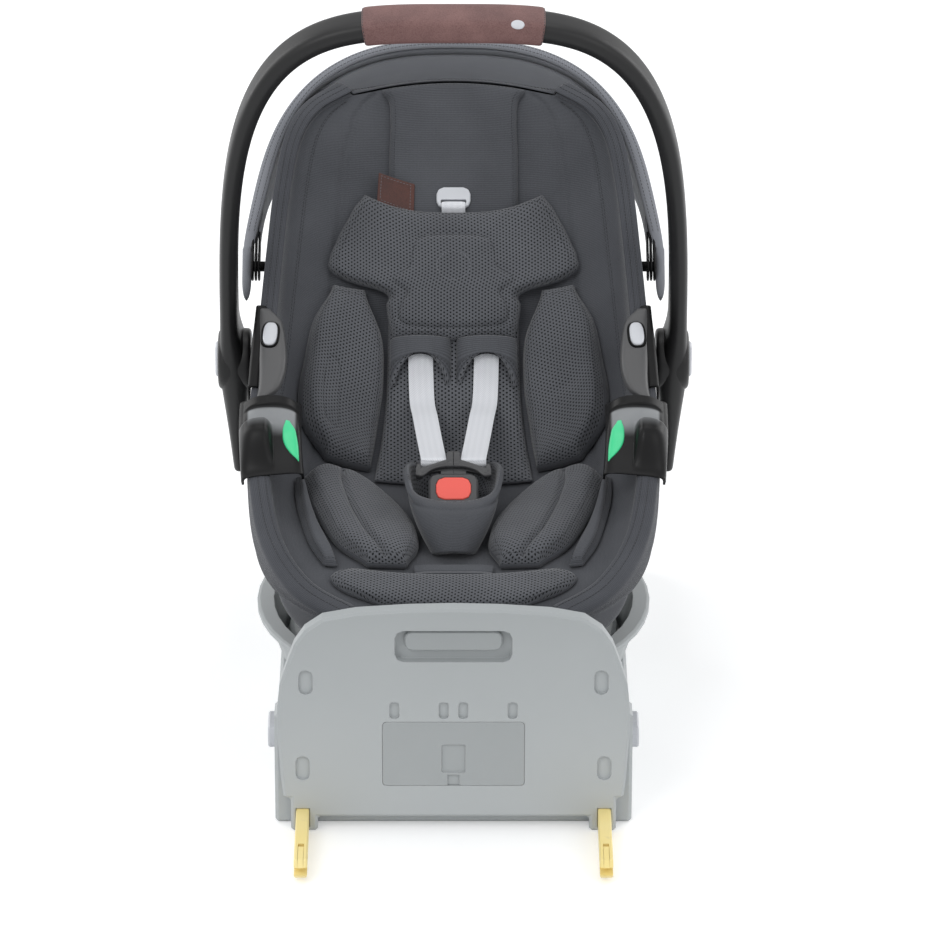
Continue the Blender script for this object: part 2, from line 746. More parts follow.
def make_turn_lever(base):
    """The paddle in the plate's recess that frees the swivel."""
    body = carrier_of("axis_turn_lever", (0, -PLATE_FRONT + RECESS_DEEP - LEVER_THICK, RECESS_Z), base)
    wide = RECESS_WIDE - 2 * RECESS_DEEP
    tall = RECESS_TALL - 2 * LEVER_TRAVEL
    z = RECESS_Z + RECESS_TALL / 2 - tall / 2 - LEVER_TRAVEL / 3
    lever = prism("turn_lever", round_rect(0, z, wide, tall, tall / 3), "Y",
                  -PLATE_FRONT + RECESS_DEEP - GAP - LEVER_THICK, -PLATE_FRONT + RECESS_DEEP - GAP,
                  grey_plastic(), body.location)
    soften(lever, LEVER_THICK / 4)
    hang(lever, body)


def make_bowl(base):
    """The open ring that the turntable sinks into, with a paler lip."""
    profile = [
        (BOWL_FOOT_RADIUS, CHASSIS_TOP + GAP), (BOWL_TOP_RADIUS - BOWL_LIP, BOWL_TOP - BOWL_LIP),
        (BOWL_TOP_RADIUS, BOWL_TOP - BOWL_LIP * 0.6), (BOWL_TOP_RADIUS, BOWL_TOP - BOWL_LIP * 0.15),
        (BOWL_TOP_RADIUS - BOWL_LIP * 0.3, BOWL_TOP), (BOWL_TOP_RADIUS - BOWL_LIP - BOWL_WALL, BOWL_TOP),
        (BOWL_INNER, CHASSIS_TOP + BOWL_LIP), (BOWL_INNER, CHASSIS_TOP + GAP),
    ]
    bowl = turned("base_bowl", profile[::-1], pale_plastic(), steps=48)
    hang(bowl, base)


def make_bearing(base):
    """The ring that carries the turntable."""
    low = CHASSIS_TOP + GAP
    profile = [(BEARING_RADIUS, low), (BEARING_RADIUS, low + BEARING_TALL),
               (BEARING_RADIUS - BEARING_WIDE, low + BEARING_TALL), (BEARING_RADIUS - BEARING_WIDE, low)]
    ring = turned("bearing_ring", profile, steel(), steps=32)
    hang(ring, base)


def make_arm(side, sign, base):
    """A sliding anchor arm with a forked nose, and the sprung jaw in it."""
    tip = -PLATE_FRONT - ARM_REACH
    body = carrier_of("axis_arm_" + side, (sign * ARM_SPREAD, tip, ARM_FLOOR), base)
    y0, y1 = tip, tip + ARM_LONG
    z0, z1 = ARM_FLOOR, ARM_FLOOR + ARM_TALL
    nose = ARM_TALL / 3
    outline = [(y0, z0 + nose), (y0 + nose, z0), (y1, z0), (y1, z1), (y0 + nose, z1), (y0, z1 - nose)]
    arm = prism("isofix_arm_" + side, outline, "X", sign * ARM_SPREAD - ARM_WIDE / 2,
                sign * ARM_SPREAD + ARM_WIDE / 2, arm_paint(), body.location)
    soften(arm, ARM_WIDE / 12, 1)
    mouth_z = z0 + ARM_TALL / 2
    mouth = block("cut_mouth_" + side,
                  (sign * ARM_SPREAD - ARM_WIDE, y0 - OVERRUN, mouth_z - MOUTH_TALL / 2),
                  (sign * ARM_SPREAD + ARM_WIDE, y0 + MOUTH_DEEP, mouth_z + MOUTH_TALL / 2), arm_paint())
    half = JAW_THICK / 2 + GAP
    pivot = (y0 + JAW_PIVOT_BACK, z0 + ARM_TALL * 0.62)
    slot = block("cut_jaw_slot_" + side, (sign * ARM_SPREAD - half, y0 - OVERRUN, mouth_z + GAP),
                 (sign * ARM_SPREAD + half, y0 + JAW_LONG + OVERRUN, z1 + OVERRUN), arm_paint())
    pin = prism("cut_jaw_pin_" + side, circle(pivot[0], pivot[1], JAW_PIN_RADIUS + GAP, 12), "X",
                sign * ARM_SPREAD - ARM_WIDE, sign * ARM_SPREAD + ARM_WIDE, arm_paint())
    cut(arm, mouth, slot, pin)
    hang(arm, body)
    hinge = carrier_of("axis_jaw_" + side, (sign * ARM_SPREAD, pivot[0], pivot[1]), body)
    top = z1 - GAP
    hook = [(y0 + GAP, mouth_z + MOUTH_TALL / 2), (y0 + JAW_THICK, mouth_z + GAP * 4),
            (y0 + JAW_THICK, mouth_z + MOUTH_TALL / 2 + GAP), (pivot[0], mouth_z + GAP * 4 + GAP),
            (y0 + JAW_LONG, mouth_z + MOUTH_TALL / 2), (y0 + JAW_LONG, top), (y0 + nose, top)]
    jaw = prism("isofix_jaw_" + side, hook, "X", sign * ARM_SPREAD - JAW_THICK / 2,
                sign * ARM_SPREAD + JAW_THICK / 2, steel(), (sign * ARM_SPREAD, pivot[0], pivot[1]))
    pin = prism("jaw_pin_" + side, circle(pivot[0], pivot[1], JAW_PIN_RADIUS, 12), "X",
                sign * ARM_SPREAD - ARM_WIDE / 2 - GAP, sign * ARM_SPREAD + ARM_WIDE / 2 + GAP, steel())
    unite(jaw, pin)
    hang(jaw, hinge)


def make_side_clip(side, sign, base):
    """The white clip on the base's flank that lets the arm slide."""
    body = carrier_of("axis_clip_" + side, (sign * CHASSIS_HALF, SIDE_CLIP_Y, SIDE_CLIP_Z), base)
    inner = CHASSIS_HALF - SIDE_CLIP_DEEP + SIDE_CLIP_TRAVEL + GAP
    outer = CHASSIS_HALF + SIDE_CLIP_PROUD
    clip = prism("isofix_clip_" + side, button_outline(-GAP / 2), "X", sign * inner, sign * outer,
                 white_plastic(), body.location)
    soften(clip, SIDE_CLIP_PROUD / 6)
    hang(clip, body)


def make_leg(base):
    """The support leg, folded into its bay: outer tube, inner tube, foot, pin and button."""
    axis = (0, LEG_AXIS_Y, LEG_AXIS_Z)
    body = carrier_of("axis_leg", axis, base)
    far = LEG_AXIS_Y - LEG_LONG
    tall = LEG_TALL / 2
    outline = [(far, LEG_AXIS_Z - tall), (LEG_AXIS_Y, LEG_AXIS_Z - tall)]
    outline += [(LEG_AXIS_Y + tall * cos(a), LEG_AXIS_Z + tall * sin(a))
                for a in (-pi / 3, -pi / 6, 0, pi / 6, pi / 3)]
    outline += [(LEG_AXIS_Y, LEG_AXIS_Z + tall), (far, LEG_AXIS_Z + tall)]
    outer = prism("leg_outer_tube", outline, "X", -LEG_WIDE / 2, LEG_WIDE / 2, pale_plastic(), axis)
    bore_low = (-LEG_WIDE / 2 + LEG_WALL, far - OVERRUN, LEG_AXIS_Z - tall + LEG_WALL)
    bore_high = (LEG_WIDE / 2 - LEG_WALL, LEG_AXIS_Y - LEG_TALL, LEG_AXIS_Z + tall - LEG_WALL)
    pin_hole = prism("cut_leg_eye", circle(LEG_AXIS_Y, LEG_AXIS_Z, LEG_PIN_RADIUS + GAP), "X",
                     -LEG_WIDE, LEG_WIDE, pale_plastic())
    half = LEG_BUTTON_SIZE / 2 + GAP
    button_y = far + LEG_INNER_SHOW
    button_hole = block("cut_leg_button", (-half, button_y - half, LEG_AXIS_Z - LEG_TALL),
                        (half, button_y + half, LEG_AXIS_Z), pale_plastic())
    cut(outer, block("cut_leg_bore", bore_low, bore_high, pale_plastic()), pin_hole, button_hole)
    hang(outer, body)

    slide = carrier_of("axis_leg_slide", (0, far, LEG_AXIS_Z), body)
    fit = LEG_WALL + GAP
    inner_far = far - LEG_INNER_SHOW
    inner = block("leg_inner_tube",
                  (-LEG_WIDE / 2 + fit, inner_far, LEG_AXIS_Z - tall + fit),
                  (LEG_WIDE / 2 - fit, LEG_AXIS_Y - LEG_TALL - GAP - LEG_WALL, LEG_AXIS_Z + tall - fit),
                  steel(), slide.location)
    groove = block("cut_leg_groove", (-half - GAP, inner_far + LEG_FOOT_LONG / 2, LEG_AXIS_Z - LEG_TALL),
                   (half + GAP, LEG_AXIS_Y, LEG_AXIS_Z - tall + fit + LEG_BUTTON_SINK),
                   steel())
    cut(inner, groove)
    hang(inner, slide)
    sole = round_rect(0, LEG_AXIS_Z, LEG_FOOT_WIDE, LEG_FOOT_TALL, LEG_FOOT_TALL / 4)
    foot = prism("leg_foot", sole, "Y", inner_far - LEG_FOOT_LONG, inner_far - GAP, rubber(),
                 slide.location)
    soften(foot, LEG_FOOT_LONG / 8)
    hang(foot, slide)

    press = carrier_of("axis_leg_button", (0, button_y, LEG_AXIS_Z - tall), body)
    low = LEG_AXIS_Z - tall - LEG_BUTTON_PROUD
    high = LEG_AXIS_Z - tall + LEG_WALL
    size = LEG_BUTTON_SIZE / 2
    button = block("leg_button", (-size, button_y - size, low), (size, button_y + size, high),
                   grey_plastic(), press.location)
    hang(button, press)

    seat = LEG_FOOT_WIDE / 2 + LEG_SIDE_FIT + LEG_PIN_SEAT - GAP
    pin = prism("leg_hinge_pin", circle(LEG_AXIS_Y, LEG_AXIS_Z, LEG_PIN_RADIUS), "X", -seat, seat,
                steel(), smooth=True)
    hang(pin, base)


def make_turntable(base):
    """The disc that turns on the bearing, and the cradle that holds the shell."""
    body = carrier_of("axis_turntable", (0, 0, CHASSIS_TOP), base)
    low = CHASSIS_TOP + BEARING_TALL + 2 * GAP
    high = low + TURNTABLE_TALL
    edge = TURNTABLE_TALL / 4
    profile = [
        (BOLT_RADIUS, CHASSIS_TOP - SPIGOT_DEEP), (SPIGOT_RADIUS, CHASSIS_TOP - SPIGOT_DEEP),
        (SPIGOT_RADIUS, low), (TURNTABLE_RADIUS - edge, low), (TURNTABLE_RADIUS, low + edge),
        (TURNTABLE_RADIUS, high - edge), (TURNTABLE_RADIUS - edge, high), (BOLT_RADIUS, high),
    ]
    disc = turned("turntable", profile, pale_plastic(), steps=36, origin=body.location)
    hang(disc, body)
    base_z = high + GAP
    top = shell_underside() - GAP
    ridge = [
        (-CRADLE_HALF, base_z), (CRADLE_HALF, base_z), (CRADLE_HALF, top + CRADLE_CHEEK),
        (CRADLE_HALF - CRADLE_EDGE, top + CRADLE_CHEEK), (CRADLE_HALF - 2 * CRADLE_EDGE, top),
        (-CRADLE_HALF + 2 * CRADLE_EDGE, top), (-CRADLE_HALF + CRADLE_EDGE, top + CRADLE_CHEEK),
        (-CRADLE_HALF, top + CRADLE_CHEEK),
    ]
    cradle = prism("seat_cradle", ridge, "Y", -CRADLE_FRONT, CRADLE_REAR, pale_plastic(), body.location)
    well = block("cut_cradle_well", (-CRADLE_HALF / 2, -CRADLE_FRONT / 2, high + CRADLE_EDGE),
                 (CRADLE_HALF / 2, CRADLE_REAR / 2, top + OVERRUN), pale_plastic())
    keel = shell_blank("cut_cradle_shell", GAP * 3)
    cut(cradle, well, keel)
    soften(cradle, CRADLE_EDGE / 6)
    hang(cradle, body)
    return body


# The seat's surfaces


def along(table, u):
    """A smooth curve through evenly spaced stations, for u from 0 to 1."""
    table = np.array(table, dtype=float)
    last = len(table) - 1
    place = np.clip(u, 0, 1) * last
    i = np.minimum(place.astype(int), last - 1)
    f = place - i
    if table.ndim > 1:
        f = f[..., None]
    a, b, c, d = table[np.maximum(i - 1, 0)], table[i], table[i + 1], table[np.minimum(i + 2, last)]
    bend = (2 * a - 5 * b + 4 * c - d) * f ** 2
    twist = (3 * b - a - 3 * c + d) * f ** 3
    return (2 * b + (c - a) * f + bend + twist) / 2


def seat_point(u, t):
    """The padded seat's face; t runs from -1 at the left rim to 1 at the right."""
    return bucket_point(u, t, SEAT_SPINE, SEAT_RIM, SEAT_HALF)


def shell_point(u, t):
    """The hard shell's inner face, a set distance outside the seat's rim."""
    half = [w + SHELL_OUT for w in SEAT_HALF]
    rim = [(y + SHELL_BACK * share, z) for (y, z), share in zip(SEAT_RIM, RIM_SHIFT_SHARES)]
    return bucket_point(u, t, SHELL_SPINE, rim, half)


def bucket_point(u, t, spine, rim, half):
    """A trough whose cross sections are soft rectangles, bowed at foot and head."""
    u, t = np.broadcast_arrays(np.asarray(u, dtype=float), np.asarray(t, dtype=float))
    turn = np.abs(t) * pi / 2
    share = np.sin(turn) ** (2 / RIM_SOFTNESS)
    rise = 1 - np.abs(np.cos(turn)) ** (2 / RIM_SOFTNESS)
    low, high = along(spine, u), along(rim, u)
    ahead = (along(SEAT_SPINE, np.clip(u + SLOPE_STEP_SHARE, 0, 1))
             - along(SEAT_SPINE, np.clip(u - SLOPE_STEP_SHARE, 0, 1)))
    ahead /= np.linalg.norm(ahead, axis=-1, keepdims=True)
    bow = np.sum((high - low) * ahead, axis=-1) * along(BOW_SHARES, u) * (share ** 2 - rise)
    yz = low + (high - low) * rise[..., None] + ahead * bow[..., None]
    return np.stack([np.sign(t) * share * along(half, u), yz[..., 0], yz[..., 1]], axis=-1)


def off_surface(face, u, t, height):
    """Points at a height above a face, towards the child."""
    step = 0.001
    u, t = np.broadcast_arrays(np.asarray(u, dtype=float), np.asarray(t, dtype=float))
    along_u = face(np.clip(u + step, 0, 1), t) - face(np.clip(u - step, 0, 1), t)
    along_t = face(u, np.clip(t + step, -1, 1)) - face(u, np.clip(t - step, -1, 1))
    normal = np.cross(along_t, along_u)
    normal /= np.linalg.norm(normal, axis=-1, keepdims=True)
    return face(u, t) + normal * np.asarray(height)[..., None]


def seat_at(u, t, height=0.0):
    """One point above the seat's face as a Vector."""
    return Vector(off_surface(seat_point, u, t, np.asarray(height)).reshape(3))


def full_grid():
    """The stations that the shell, the liner and the cover share."""
    u = np.array(STATION_SHARES, dtype=float)
    t = np.linspace(-1, 1, STEPS_ACROSS + 1)
    return np.meshgrid(u, t, indexing="ij")


def shell_underside():
    """The height of the shell's outer face under the seat."""
    return min(z for y, z in SHELL_SPINE) - SHELL_WALL


def shell_blank(name, clearance):
    """The space that the shell fills, filled up to its rim, as a cutter."""
    u, t = full_grid()
    rows = off_surface(shell_point, u, t, np.full(u.shape, -SHELL_WALL - clearance))
    return loft(name, [[tuple(p) for p in row] for row in rows], pale_plastic())


def make_shell(body):
    """The hard shell with the handle's and the canopy's pivots."""
    u, t = full_grid()
    inner = off_surface(shell_point, u, t, np.zeros(u.shape))
    outer = off_surface(shell_point, u, t, np.full(u.shape, -SHELL_WALL))
    shell = slab("seat_shell", inner, outer, black_plastic())
    rows = off_surface(shell_point, u, t, np.full(u.shape, -GAP))
    room = loft("cut_shell", [[tuple(p) for p in row] for row in rows], black_plastic())
    for side, sign in sides():
        root = shell_half_at(HANDLE_Y, HANDLE_Z) + SHELL_WALL * BOSS_ROOT_SHARE
        hub = prism("boss_handle_" + side, circle(HANDLE_Y, HANDLE_Z, PIVOT_PIN_RADIUS, 16), "X",
                    sign * root, sign * (HUB_FACE + PIVOT_PIN_LONG), black_plastic())
        root = shell_half_at(CANOPY_Y, CANOPY_Z) + SHELL_WALL * BOSS_ROOT_SHARE
        rib = prism("boss_canopy_" + side, circle(CANOPY_Y, CANOPY_Z, CANOPY_PIN_RADIUS, 12), "X",
                    sign * root, sign * (CANOPY_HALF + GAP), black_plastic())
        cut(hub, room)
        cut(rib, room)
        unite(shell, hub, rib)
    hang(shell, body)


def shell_half_at(y, z):
    """Half the width between the shell's inner faces beside a place in Y and Z."""
    u, t = np.meshgrid(np.linspace(0, 1, 101), np.linspace(0.4, 1, 61), indexing="ij")
    points = shell_point(u, t).reshape(-1, 3)
    miss = (points[:, 1] - y) ** 2 + (points[:, 2] - z) ** 2
    return float(points[np.argmin(miss), 0])


def make_liner(body):
    """The crash foam between the shell and the cover."""
    u, t = full_grid()
    upper = off_surface(seat_point, u, t, np.full(u.shape, -COVER_THICK - GAP))
    lower = off_surface(shell_point, u, t, np.full(u.shape, GAP))
    liner = slab("foam_liner", upper, lower, foam())
    hang(liner, body)


def make_cover(body):
    """The fabric lining of the seat, whose face the pads lie on."""
    u, t = full_grid()
    upper = off_surface(seat_point, u, t, np.zeros(u.shape))
    lower = off_surface(seat_point, u, t, np.full(u.shape, -COVER_THICK))
    cover = slab("seat_cover", upper, lower, ribbed_fabric())
    hang(cover, body)
    return cover


def rim_loop():
    """The seat's border as u and t, once round: left side, foot, right side, head."""
    side = np.array(STATION_SHARES, dtype=float)
    end = np.linspace(-1.0, 1.0, STEPS_ACROSS + 1)[1:-1]
    u = np.concatenate([side[::-1], np.zeros(len(end)), side, np.ones(len(end))])
    t = np.concatenate([-np.ones(len(side)), end, np.ones(len(side)), end[::-1]])
    return u, t


def unit(vectors):
    """Vectors of length one."""
    return vectors / np.linalg.norm(vectors, axis=-1, keepdims=True)


def eased(vectors):
    """Directions round a closed loop, each averaged with its neighbours."""
    return unit(np.roll(vectors, 1, axis=0) + 2 * vectors + np.roll(vectors, -1, axis=0))


def collar_rings():
    """A hook round the edges of cover, foam and shell, with its outer leg on the shell."""
    u, t = rim_loop()
    body = along(COLLAR_BODY, u)[:, None]
    near = -SHELL_WALL - COLLAR_OUT * along(COLLAR_SLACK_SHARES, u)

    def layer(face, share, height):
        span = 1 - (COLLAR_FOOT_SHARE + COLLAR_HEAD_SHARE) * share
        place = COLLAR_FOOT_SHARE * share + span * u, t * (1 - along(COLLAR_SIDE_SHARES, u) * share)
        return off_surface(face, place[0], place[1], height * np.ones(len(u)))
    edges = [layer(seat_point, 0.0, 0.0), layer(seat_point, 0.0, -COVER_THICK),
             layer(shell_point, 0.0, 0.0), layer(shell_point, 0.0, -SHELL_WALL)]
    ahead = eased(np.roll(edges[0], -1, axis=0) - np.roll(edges[0], 1, axis=0))
    across = edges[3] - edges[0]
    across = eased(unit(across - ahead * np.sum(across * ahead, axis=1, keepdims=True)))
    up = unit(np.cross(across, ahead))
    rise = [np.sum((edge - edges[0]) * up, axis=1, keepdims=True) for edge in edges]
    crest = np.max(rise, axis=0) + COLLAR_LIFT
    roof = [edge + up * (crest - high) for edge, high in zip(edges, rise)]
    beyond = across * (COLLAR_OUT * along(COLLAR_SLACK_SHARES, u))[:, None]
    shape = [
        roof[0],
        roof[0] * 0.7 + roof[3] * 0.3 + up * body * 0.8,
        roof[3] + beyond + across * body * 0.5 + up * body * 0.6,
        roof[3] + beyond + across * body - up * body * 0.4,
        layer(shell_point, 0.5, near - body[:, 0]),
        layer(shell_point, 1.0, near - body[:, 0] * 0.75),
        layer(shell_point, 1.0, near),
        layer(shell_point, 0.5, near),
        roof[3] + beyond,
        roof[0] * 0.4 + roof[3] * 0.6,
    ]
    return [[tuple(points[k]) for points in shape] for k in range(len(u))]


def swollen(points, by):
    """A grid of points whose border is pushed outwards by a distance."""
    points = points.copy()
    for edge, inner in ((0, 1), (-1, -2)):
        step = points[edge] - points[inner]
        points[edge] += by * step / np.linalg.norm(step, axis=1, keepdims=True)
        step = points[:, edge] - points[:, inner]
        points[:, edge] += by * step / np.linalg.norm(step, axis=1, keepdims=True)
    return points


def make_collar(body):
    """The cover's rolled edge, which hangs down outside the shell."""
    collar = loft("cover_collar", collar_rings(), ribbed_fabric(), closed=True)
    u, t = full_grid()
    upper = swollen(off_surface(shell_point, u, t, np.full(u.shape, GAP)), COLLAR_FIT)
    lower = swollen(off_surface(shell_point, u, t, np.full(u.shape, -SHELL_WALL - GAP)), COLLAR_FIT)
    cut(collar, slab("cut_collar", upper, lower, ribbed_fabric()), solver="MANIFOLD")
    hang(collar, body)


def pad_grid(low, high, edges, count, dip=0.0):
    """Stations of a pad: u from low to high, and t between two edges per row."""
    rows, cols = count
    a = (1 - np.cos(pi * np.linspace(0, 1, rows + 1))) / 2
    b = (1 - np.cos(pi * np.linspace(0, 1, cols + 1))) / 2
    rim = along(edges, a)
    share_a, share_b = np.meshgrid(a, b, indexing="ij")
    t = rim[:, :1] + (rim[:, 1:] - rim[:, :1]) * share_b
    u = low + (high - low) * share_a - dip * share_a ** 3 * (1 - (2 * share_b - 1) ** 2)
    return u, t, share_a, share_b


def crown(a, b, sharp=4):
    """A cushion's swelling: 0 along the edges and 1 over most of the middle."""
    rise = (1 - np.abs(2 * a - 1) ** sharp) * (1 - np.abs(2 * b - 1) ** sharp)
    return np.sqrt(np.clip(rise, 0, 1))


def make_pad(name, body, low, high, edges, count, thick, mat, edge=PAD_EDGE, seat=PAD_SEAT, dip=0.0,
             shape=None):
    """A cushion that lies on the seat's face."""
    u, t, a, b = pad_grid(low, high, edges, count, dip)
    swell = crown(a, b)
    if shape:
        swell = swell * shape(a, b)
    base = seat(t) if callable(seat) else np.full(u.shape, seat)
    upper = off_surface(seat_point, u, t, base + edge + (thick - edge) * swell)
    lower = off_surface(seat_point, u, t, base)
    pad = slab(name, upper, lower, mat)
    hang(pad, body)
    return pad


def mirrored(edges):
    """The same pad on the other side."""
    return tuple((-right, -left) for left, right in edges)


# Soft pieces


def panel_top():
    """The height of the sliding panel's face above the seat."""
    return FLAT_SEAT + PANEL_THICK


def flank_seat(t):
    """The pillow clears the fixed wings beside the sliding panel."""
    blend = np.clip((np.abs(t) - 0.22) / 0.12, 0, 1)
    high = panel_top() + GAP
    return high + (PILLOW_FLANK_SEAT - high) * blend


def make_headrest(body):
    """The sliding panel and the pillow in front of it."""
    panel = make_pad("headrest_panel", body, PANEL_LOW_SHARE, PANEL_HIGH_SHARE, PANEL_SHARES, (8, 6),
                     PANEL_THICK, ribbed_fabric(), seat=FLAT_SEAT)
    pillow = make_pad("head_pillow", body, PILLOW_LOW_SHARE, PILLOW_HIGH_SHARE, PILLOW_SHARES, (10, 12),
                      PILLOW_THICK, knit_fabric(), seat=flank_seat, dip=PILLOW_DIP_SHARE)
    return panel, pillow


def make_inlay(body):
    """The infant inlay: back, side wings and thigh pads."""
    make_pad("inlay_back", body, BACK_LOW_SHARE, BACK_HIGH_SHARE, BACK_SHARES, (8, 6), BACK_THICK,
             knit_fabric())
    for side, sign in sides():
        wing = WING_SHARES if sign < 0 else mirrored(WING_SHARES)
        make_pad("inlay_wing_" + side, body, WING_LOW_SHARE, WING_HIGH_SHARE, wing, (9, 7), WING_THICK,
                 knit_fabric(), edge=WING_EDGE)
        thigh = THIGH_SHARES if sign < 0 else mirrored(THIGH_SHARES)
        make_pad("thigh_pad_" + side, body, THIGH_LOW_SHARE, THIGH_HIGH_SHARE, thigh, (9, 7), THIGH_THICK,
                 knit_fabric())
        bolster = BOLSTER_SHARES if sign < 0 else mirrored(BOLSTER_SHARES)
        make_pad("side_bolster_" + side, body, BOLSTER_LOW_SHARE, BOLSTER_HIGH_SHARE, bolster, (7, 3),
                 BOLSTER_THICK, ribbed_fabric())
    make_pad("front_pad", body, FRONT_LOW_SHARE, FRONT_HIGH_SHARE, FRONT_SHARES, (5, 14), FRONT_THICK,
             knit_fabric(), seat=FLAT_SEAT, dip=FRONT_DIP_SHARE)


# Pieces placed by a local frame: an origin and three directions

def framed(name, outline, origin, axes, low, high, mat, pivot=(0, 0, 0), smooth=False):
    """An outline in the first two directions, pushed along the third."""
    across, ahead, up = (Vector(a) for a in axes)
    start = Vector(origin)
    rings = [[start + across * x + ahead * y + up * c for x, y in outline] for c in (low, high)]
    return loft(name, rings, mat, pivot, smooth=smooth)


def rim_frame(u, sign):
    """The rim's point with its outward, forward and upward directions."""
    here = seat_at(u, sign)
    ahead = (seat_at(u - 0.01, sign) - seat_at(u + 0.01, sign)).normalized()
    up = here - seat_at(u, sign * RIM_UP_SHARE)
    out = Vector((sign, 0, 0))
    out = (out - ahead * out.dot(ahead)).normalized()
    up = (up - ahead * up.dot(ahead) - out * up.dot(out)).normalized()
    return here, out, ahead, up


def rim_rings(sign, stations, section):
    """Rings of a piece that straddles the rim; section gives its outline at a station."""
    rings = []
    for share, u in enumerate(stations):
        here, out, ahead, up = rim_frame(u, sign)
        rings.append([here + out * a + up * c for a, c in section(share / (len(stations) - 1))])
    return rings


def make_trim(side, sign, body):
    """The plastic trim over the rim beside the handle's hub, with its oval button."""
    def section(share):
        top = TRIM_SEAT + TRIM_TALL * (0.45 + 0.55 * sin(pi * min(1, 0.25 + share * 0.6)))
        low = TRIM_SEAT
        return ((-TRIM_INNER, low), (-TRIM_INNER, top - TRIM_TALL / 3), (-TRIM_INNER * 0.6, top),
                (TRIM_OUTER * 0.65, top), (TRIM_OUTER, top - TRIM_TALL / 2), (TRIM_OUTER, -TRIM_SKIRT),
                (TRIM_OUTER - TRIM_WALL, -TRIM_SKIRT), (TRIM_OUTER - TRIM_WALL, low))
    stations = np.linspace(TRIM_LOW_SHARE, TRIM_HIGH_SHARE, 9)
    trim = loft("side_trim_" + side, rim_rings(sign, stations, section), grey_plastic())
    here, out, ahead, up = rim_frame(TRIM_BUTTON_SHARE, sign)
    top = TRIM_SEAT + TRIM_TALL
    outline = round_rect(0, 0, TRIM_BUTTON_WIDE, TRIM_BUTTON_LONG, TRIM_BUTTON_WIDE * 0.45)
    hole = round_rect(0, 0, TRIM_BUTTON_WIDE + 2 * GAP, TRIM_BUTTON_LONG + 2 * GAP, TRIM_BUTTON_WIDE * 0.45)
    pocket = framed("cut_trim_" + side, hole, here, (out, ahead, up), top - 2 * TRIM_BUTTON_DEEP,
                    top + OVERRUN, grey_plastic())
    cut(trim, pocket)
    hang(trim, body)
    press = carrier_of("axis_trim_button_" + side, here + up * top, body)
    button = framed("side_button_" + side, outline, here, (out, ahead, up), top - TRIM_BUTTON_DEEP,
                    top + TRIM_BUTTON_PROUD, white_plastic(), press.location)
    soften(button, TRIM_BUTTON_PROUD / 2)
    hang(button, press)


def make_guide(side, sign, body):
    """The belt hook over the rim, with its coloured insert on the inner face."""
    def section(share):
        bulge = sin(pi * (0.12 + 0.76 * share)) ** 0.5
        top = GUIDE_SEAT + GUIDE_TALL * bulge
        low = GUIDE_SEAT
        skirt = GUIDE_SKIRT * (0.45 + 0.55 * (1 - share))
        leg = GUIDE_OUTER - GUIDE_WALL
        return ((-GUIDE_INNER, low), (-GUIDE_INNER, top * 0.9), (-GUIDE_INNER * 0.7, top), (leg, top),
                (GUIDE_OUTER, top * 0.7), (GUIDE_OUTER, -skirt), (leg, -skirt), (leg, low))
    stations = np.linspace(GUIDE_LOW_SHARE, GUIDE_HIGH_SHARE, 8)
    guide = loft("belt_guide_" + side, rim_rings(sign, stations, section), black_plastic())
    here, out, ahead, up = rim_frame(GUIDE_MIDDLE_SHARE, sign)
    half = GUIDE_SLOT_WIDE / 2
    high = GUIDE_SEAT + GUIDE_TALL + OVERRUN
    slot = [(-half, GUIDE_SEAT + GUIDE_SLOT_FLOOR), (half, GUIDE_SEAT + GUIDE_SLOT_FLOOR),
            (half * 1.5, high), (-half * 1.5, high)]
    channel = framed("cut_guide_" + side, slot, here, (ahead, up, out), -GUIDE_INNER - OVERRUN,
                     GUIDE_OUTER + OVERRUN, black_plastic())
    cut(guide, channel)
    hang(guide, body)
    span = [(-1, .05), (1, .05), (1, .55), (.75, .9), (.3, 1.05), (-.3, 1.05), (-.75, .9), (-1, .55)]
    plate = [(x * INSERT_WIDE / 2, GUIDE_SEAT - GUIDE_SLOT_FLOOR / 2 + z * INSERT_TALL) for x, z in span]
    insert = framed("belt_insert_" + side, plate, here, (ahead, up, out), -GUIDE_INNER - GAP - INSERT_THICK,
                    -GUIDE_INNER - GAP, green_plastic())
    cut(insert, channel)
    hang(insert, body)


def buckle_frame():
    """The buckle's face: its middle and its across, upward and outward directions."""
    tilt = BUCKLE_TILT
    return (Vector((0, BUCKLE_Y, BUCKLE_Z)),
            (Vector((1, 0, 0)), Vector((0, cos(tilt), sin(tilt))), Vector((0, -sin(tilt), cos(tilt)))))


def buckle_outline(grow=0.0):
    """The housing's outline in its own frame."""
    return round_rect(0, (BUCKLE_HIGH - BUCKLE_LOW) / 2, BUCKLE_WIDE + 2 * grow,
                      BUCKLE_LOW + BUCKLE_HIGH + 2 * grow, BUCKLE_WIDE / 6 + grow)


